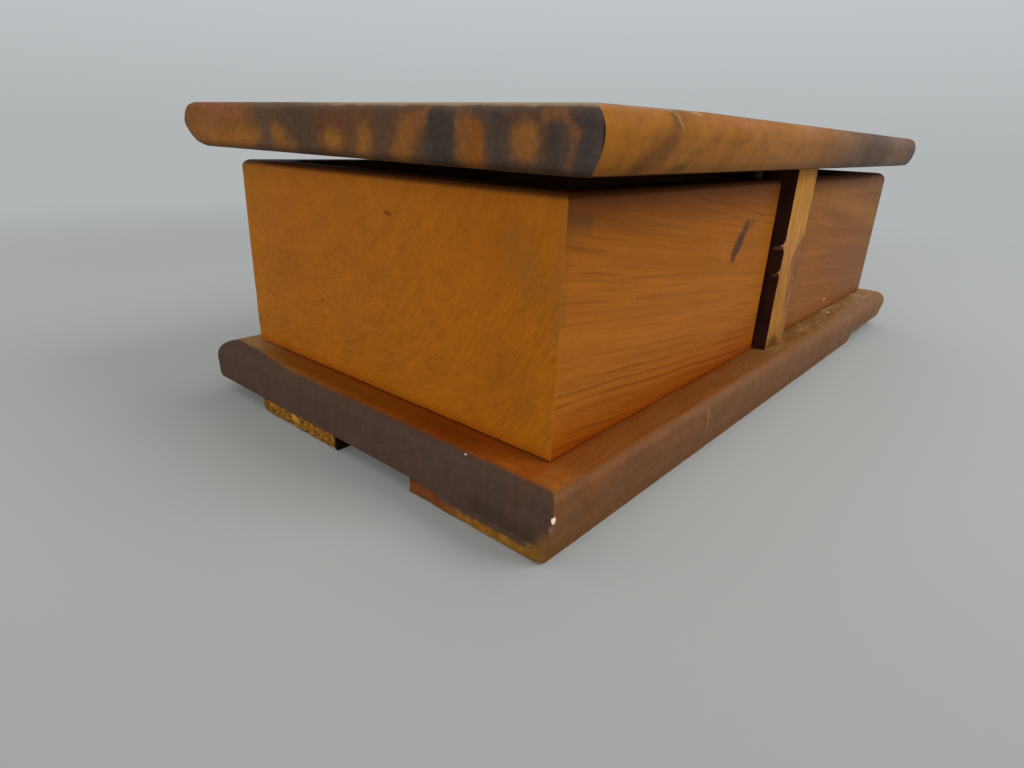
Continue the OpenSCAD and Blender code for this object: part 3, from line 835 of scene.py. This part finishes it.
# Each mark there: where it starts and stops, each along and up, half its width, how soft, how strong,
# and its colour.
LID_END_MARKS = (
    (-48, 77.6, -36, 77.6, 2.4, 0.9, 0.45, 128, 74, 46), (-50, 71.6, -31, 71.4, 2.4, 0.95, 0.5, 138, 84, 16),
    (-36, 73, -28, 73, 2.2, 0.95, 0.45, 136, 86, 20), (-60, 74, -50, 74, 3.4, 0.9, 0.3, 130, 80, 28),
    (-21, 73.6, -19.4, 72.4, 2.7, 0.95, 0.65, 134, 84, 22),
    (-19.6, 72.4, -15, 70.4, 3.2, 1.0, 0.6, 122, 74, 24),
    (-22.5, 70.5, -20, 69.8, 2.0, 0.9, 0.4, 112, 68, 24),
    (-3.6, 74.6, 2.0, 74.6, 3.6, 0.95, 0.35, 104, 54, 28), (-4.4, 72, 2.6, 72, 2.6, 0.9, 0.4, 112, 68, 24),
    (-1.6, 72.8, 0.4, 72.5, 2.5, 0.95, 0.75, 132, 86, 22), (9.3, 76.2, 9.3, 71, 5.0, 0.95, 0.5, 100, 62, 30),
    (9.0, 71.6, 9.8, 73.4, 3.4, 0.95, 0.75, 130, 82, 23), (20.2, 71, 22.6, 75, 3.8, 0.9, 0.85, 124, 76, 28),
    (22.6, 75, 27.5, 78.2, 2.6, 0.95, 0.7, 116, 70, 34),
    (32.4, 79.6, 30.0, 76.4, 2.7, 0.6, 0.95, 66, 58, 52),
    (30.0, 76.4, 30.6, 69.4, 3.6, 0.6, 0.97, 54, 45, 39),
    (37.6, 71.2, 37.4, 74.4, 4.0, 0.6, 0.95, 116, 68, 24),
    (35.4, 74.5, 35.3, 78.2, 1.5, 0.9, 0.8, 104, 66, 38), (38.6, 77.6, 41.5, 77, 1.8, 0.9, 0.5, 78, 58, 50),
    (44, 78, 44, 70, 2.3, 0.9, 0.7, 62, 49, 41), (49.1, 73.4, 49.1, 74.6, 4.6, 0.8, 0.75, 94, 61, 34),
    (49.1, 73.2, 49.1, 74.8, 3.1, 0.8, 0.9, 122, 77, 33),
    (52.6, 77.6, 55.8, 77.8, 1.3, 0.9, 0.8, 110, 70, 38),
    (55.8, 77.8, 58.4, 75.4, 1.4, 0.9, 0.7, 104, 66, 38),
    (58.4, 75.4, 57.4, 70.8, 1.3, 0.9, 0.5, 106, 66, 36), (54.2, 75, 54.2, 70.5, 1.8, 0.9, 0.75, 56, 46, 40),
    (60.8, 78, 60.6, 71, 1.7, 0.9, 0.7, 56, 48, 45))
# Along the right side, from the front.
LID_SIDE_BROWNS = ((-124, 139, 85, 20), (-112, 138, 84, 18), (-105, 122, 73, 22), (-96, 137, 84, 22),
                   (-50, 141, 89, 28), (-20, 132, 83, 31), (10, 109, 74, 42), (46, 78, 55, 44),
                   (94, 106, 76, 56), (124, 72, 60, 50))
# The sixth row, pale along the top edge from the front end, is dust and a painted highlight.
LID_SIDE_MARKS = (
    (-112, 70, -104, 74.6, 3.0, 1.0, 0.6, 88, 52, 20), (-104, 74.6, -100, 79, 1.8, 0.95, 0.4, 98, 60, 26),
    (-101.7, 79.2, -101.2, 77.2, 1.1, 0.8, 0.6, 84, 64, 26),
    (-99.8, 78.6, -99.6, 76.8, 0.8, 0.9, 0.45, 158, 124, 74),
    (96, 70.5, 106, 74, 3.2, 0.9, 0.6, 122, 84, 42), (-124, 79.8, -90, 80.1, 0.8, 0.8, 0.6, 164, 140, 108),
    (-101, 69.8, -95, 71, 1.7, 0.95, 0.55, 82, 50, 20),
    (-101.7, 70.6, -90.6, 76.7, 1.8, 1.0, 0.4, 148, 98, 34),
    (-94, 72.5, -84, 76.5, 2.0, 1.0, 0.4, 108, 66, 26), (-80, 72, -70, 77, 2.4, 1.0, 0.35, 112, 70, 28),
    (-66, 71, -60, 77, 2.2, 1.0, 0.3, 112, 70, 30), (-90, 78.8, -48, 79.2, 1.5, 0.9, 0.4, 144, 84, 44),
    (-121, 79.6, -104, 79.8, 1.6, 0.9, 0.45, 152, 92, 34))


def lid_finish():
    wood = Finish("lid_wood")
    spot = wood.own_spots(turn=(0, 0, -LID_SKEW))
    x, y, z = wood.split(spot)
    half_wide = LID_WIDE / 2 / MM
    from_side = wood.minus(half_wide, wood.distance(x))
    from_end = wood.minus(LID_LONG / 2 / MM, wood.distance(y))
    fibre = wood.streak(spot, (0.9, 18, 0.9))
    ragged = wood.streak(spot, (4, 27, 4))

    wave = wood.streak(spot, (50, 30, 12), 3, 0.5)
    across = wood.shake(x, ragged, 3)
    across = wood.plus(across, wood.times(wood.minus(wave, 0.5), 40, wood.fade(y, -122, -90)))
    stripes = wood.bands(wood.fade(across, -half_wide, half_wide), [
        (0.0, 0.55), (0.08, 0.7), (0.2, 0.62), (0.27, 0.5), (0.33, 0.6), (0.36, 0.62), (0.39, 0.35),
        (0.46, 0.3), (0.5, 0.7), (0.53, 0.35), (0.575, 0.75), (0.61, 0.35), (0.665, 0.8), (0.7, 0.45),
        (0.71, 0.05), (0.76, 0.05), (0.78, 0.8), (0.825, 0.75), (0.84, 0.15), (0.87, 0.15), (0.89, 0.75),
        (0.915, 0.7), (0.93, 0.15), (0.955, 0.5), (0.97, 0.2), (1.0, 0.3)])
    colour = wood.mix(stripes, tint(62, 47, 39), tint(140, 88, 36))
    colour = wood.shade(colour, fibre, 0.8, 1.2)
    colour = wood.shade(colour, wood.streak(spot, (7, 30, 7)), 0.85, 1.15)
    dusty = wood.times(wood.fade(from_end, 10, 1.5, 0, 0.5), wood.fade(from_side, 5, 8))
    colour = wood.over(colour, (150, 128, 98), dusty)

    mottle = wood.streak(spot, (1.3, 9, 1.1), 4, 0.65)
    ripple = wood.streak(spot, (4, 9, 5))
    end = wood.along(wood.shake(x, ripple, 4), LID_END_BROWNS)
    flat = wood.place(wood.stir(wood.stir(spot, 6, 2.2), 1.6, 1.2), size=(1, 0, 1))
    end = wood.strokes(end, flat, 0, LID_END_MARKS, wider=1.15)
    crack = wood.mark(wood.place(spot, size=(1, 0, 1)), (63.2, 0, 73.2), (63.2, 0, 77.7), 0.35, 0.6)
    end = wood.over(end, (34, 26, 20), crack, 0.8)
    end = wood.shade(end, mottle, 0.88, 1.12)
    end = wood.shade(end, wood.cloud(spot, 1.5, 4, 0.7), 0.86, 1.06)
    # Dust and a painted highlight along the rounded top edge of the front end.
    dust = wood.times(wood.fade(wood.shake(z, ripple, 2), 77.4, 79.2), wood.fade(x, -46, -26, 0.1, 0.5))
    end = wood.over(end, (98, 76, 58), dust)
    dust = wood.times(wood.fade(wood.shake(z, ripple, 0.8), 78.7, 79.3), wood.fade(x, -20, 10, 0, 0.7))
    end = wood.over(end, (150, 126, 100), dust)
    # Darker towards the foot: painted shade under the lid's edge.
    end = wood.shade(end, z, 0.72, 1.0, 69.4, 71.6)
    end_near = wood.fade(wood.shake(from_end, ragged, 0.6), 1.7, 1.1)
    colour = wood.over(colour, end, end_near)

    length = wood.shake(y, wood.streak(spot, (9, 9, 4.5), 4), 16)
    side = wood.along(wood.plus(length, wood.times(wood.minus(z, 74), -1.2)), LID_SIDE_BROWNS)
    flat = wood.place(wood.stir(wood.stir(spot, 7, 3), 1.8, 1.2), size=(0, 1, 1))
    side = wood.strokes(side, flat, 1, LID_SIDE_MARKS, wider=1.15)
    outer = wood.spot(flat, (0, -54.8, 75.3), 7.2, 0.4, (1, 1, 1.6))
    inner = wood.spot(flat, (0, -54.8, 75.3), 5.2, 0.5, (1, 1, 1.6))
    side = wood.over(side, (118, 74, 40), wood.minus(outer, inner), 0.25)
    slanted = wood.place(spot, turn=(-35, 0, 0))
    side = wood.shade(side, wood.streak(slanted, (3, 7, 2.2)), 0.93, 1.07)
    side = wood.shade(side, wood.cloud(spot, 3.5, 4, 0.65), 0.91, 1.09)
    side = wood.shade(side, wood.streak(spot, (2, 10, 1.2)), 0.94, 1.06)
    # Darker towards the foot: painted shade under the lid's edge.
    side = wood.shade(side, z, 0.8, 1.0, 69.4, 72)
    side_near = wood.times(wood.fade(wood.shake(from_side, ragged, 1.5), 6.5, 4.8), wood.fade(x, -5, 5))
    facing = wood.add("NewGeometry").outputs["Normal"]
    faces_right = wood.fade(wood.split(facing)[0], 0.12, 0.25)
    colour = wood.over(colour, side, side_near, faces_right)
    wood.relief(fibre, 0.05)
    return wood.lay(colour, wood.fade(wood.streak(spot, (9, 18, 9)), 0.3, 0.7, 0.4, 0.55), 0.06)


lid_low, lid_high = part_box("lid_board")
low = Vector((-LID_WIDE / 2, -LID_LONG / 2, lid_low.z))
high = Vector((LID_WIDE / 2, LID_LONG / 2, lid_high.z))
board = plank(low, high)
for side, edge_x, outline in ((-1, low.x, LID_LEFT_EDGE), (1, high.x, LID_RIGHT_EDGE)):
    for (inset_a, up_a), (inset_b, up_b) in zip(outline, outline[1:]):
        at = Vector((edge_x - side * inset_a * MM, 0, low.z + up_a * MM))
        plane_off(board, at, Vector((side * (up_b - up_a), 0, inset_b - inset_a)))
for side in (FRONT, REAR):
    plane_round(board, low, high, side, UP, LID_END_TOP_ROUND, 5)
    plane_round(board, low, high, side, DOWN, LID_END_FOOT_ROUND, 5)
for axis, gap in enumerate((2.2, 2.2, 2)):
    score(board, axis, gap * MM)
rub(board, low, high, all_over=0.05 * MM, at_edges=0.15 * MM, reach=3 * MM, seed=6.2)
for v in board.verts:
    to_front = max(0.0, min(1.0, (LID_THINNER_FROM - v.co.y) / (LID_THINNER_FROM - low.y)))
    v.co.z -= LID_FRONT_THINNER * to_front * max(0.0, v.co.z - low.z) / (high.z - low.z)
skew = Matrix.Rotation(math.radians(LID_SKEW), 3, "Z")
bmesh.ops.rotate(board, cent=(0, 0, 0), matrix=skew, verts=board.verts)
bits = [drill(x, y, lid_low.z - MM, head + 0.5 * MM, r + BORE_PLAY) for x, y, foot, head, r in rods]
board = cut_away(board, bits)
lid = as_piece(board, "lid_plank", lid_finish())
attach(lid, "frame")
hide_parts("lid_board")


# Rods, screws and runner pins are plain drawn steel, darkened with age where they show, the
# washers are brass and the dowels raw wood.
def metal_finish(name, light, dull, share):
    metal = Finish(name)
    spot = metal.own_spots()
    brush = metal.streak(spot, (0.6, 0.6, 3), 4, 0.6)
    colour = metal.mix(metal.fade(metal.cloud(spot, 3), 0.3, 0.7, share, 1), light, dull)
    metal.shader.inputs["Metallic"].default_value = 1.0
    metal.relief(brush, 0.03)
    return metal.lay(colour, metal.fade(brush, 0.3, 0.7, 0.4, 0.6), 0.5)


steel = metal_finish("steel_wire", tint(190, 188, 184), tint(120, 104, 90), 0.0)
rod_steel = metal_finish("rod_steel", tint(62, 52, 44), tint(34, 27, 22), 0.3)
brass = metal_finish("brass_sheet", tint(206, 170, 96), tint(132, 96, 48), 0.0)
dowel_wood = slip_finish("dowel_wood", False)
for node, finish in (("front_pivot_rod", rod_steel), ("rear_pivot_rod", rod_steel), ("base_screws", steel),
                     ("left_runner_pins", steel), ("right_runner_pins", steel), ("front_washer", brass),
                     ("rear_washer", brass), ("lid_dowels", dowel_wood)):
    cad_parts[node].data.materials.clear()
    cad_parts[node].data.materials.append(finish)


# Floor: a pale sheet, 1.4 metres across, painted darker towards the front right as painted shade, that fades
# out into the backdrop.
def floor_finish():
    paint = Finish("floor_paint")
    x, y = paint.split(paint.own_spots())[:2]
    far = paint.sum("SQRT", paint.plus(paint.times(x, x), paint.times(y, y)))
    behind = paint.minus(paint.times(y, 0.76), paint.times(x, 0.65))
    # Painted shade: the paint darkens towards the front right.
    paint.lay(paint.mix(paint.fade(behind, -215, -95), tint(149, 152, 149), tint(161, 164, 162)), 0.8)
    see_through = paint.add("BsdfTransparent").outputs[0]
    both = paint.add("MixShader", paint.fade(far, 260, 620), paint.shader.outputs[0], see_through)
    paint.feed(paint.nodes["Material Output"].inputs["Surface"], both.outputs[0])
    return paint.material


ground = bmesh.new()
bmesh.ops.create_circle(ground, cap_ends=True, segments=96, radius=0.7)
floor = as_piece(ground, "floor_sheet", floor_finish())


# Light: a pale backdrop that only the camera and gloss see, an even white fill from all round,
# and three square soft lamps: overhead, far to the right, and low in front.
world = bpy.data.worlds.new("studio")
bpy.context.scene.world = world
world.use_nodes = True
world.node_tree.nodes.clear()
sky = Steps(world.node_tree)
height = sky.split(sky.add("TexCoord").outputs["Generated"])[2]
backdrop = sky.bands(height, [(0.0, tint(178, 181, 182)), (0.25, tint(199, 203, 206))])
seen = sky.add("Background", backdrop).outputs[0]
fill = sky.add("Background", (1, 1, 1, 1), 0.65).outputs[0]
rays = sky.add("LightPath").outputs
looked_at = sky.sum("MAXIMUM", rays["Is Camera Ray"], rays["Is Transmission Ray"])
looked_at = sky.sum("MAXIMUM", looked_at, rays["Is Glossy Ray"])
sky.add("OutputWorld", sky.add("MixShader", looked_at, fill, seen).outputs[0])


def lamp(name, place, aim, size, power):
    """A square soft lamp that faces a point."""
    light = bpy.data.lights.new(name, "AREA")
    light.size = size
    light.energy = power
    holder = bpy.data.objects.new(name, light)
    holder.location = place
    holder.rotation_euler = (Vector(aim) - Vector(place)).to_track_quat("-Z", "Y").to_euler()
    bpy.context.scene.collection.objects.link(holder)


lamp("ceiling_lamp", (0.05, 0.15, 1.25), (0, 0, 0.03), 0.35, 1.5)
lamp("side_lamp", (0.85, 0.35, 0.85), (0, 0, 0.03), 0.6, 7.6)
lamp("front_lamp", (0.35, -1.2, 0.45), (0, 0, 0.03), 0.9, 8.3)


# Camera: low and close, near the front right corner, as in the photograph.
EYE = Vector((0.1188, -0.2023, 0.0746))
YAW, PITCH, ROLL = 0.702, -0.375, 0.042
ahead = Vector((-math.sin(YAW) * math.cos(PITCH), math.cos(YAW) * math.cos(PITCH), math.sin(PITCH)))
level = Vector((math.cos(YAW), math.sin(YAW), 0))
upward = level.cross(ahead)
camera_x = math.cos(ROLL) * level + math.sin(ROLL) * upward
camera_y = -math.sin(ROLL) * level + math.cos(ROLL) * upward
view = bpy.data.cameras.new("camera")
view.sensor_width = 36
view.lens = 22.13
view.clip_start = 0.005
camera = bpy.data.objects.new("camera", view)
turn = Matrix((camera_x, camera_y, -ahead)).transposed()
camera.matrix_world = Matrix.Translation(EYE) @ turn.to_4x4()
bpy.context.scene.collection.objects.link(camera)
bpy.context.scene.camera = camera
bpy.context.scene.view_settings.view_transform = "Standard"
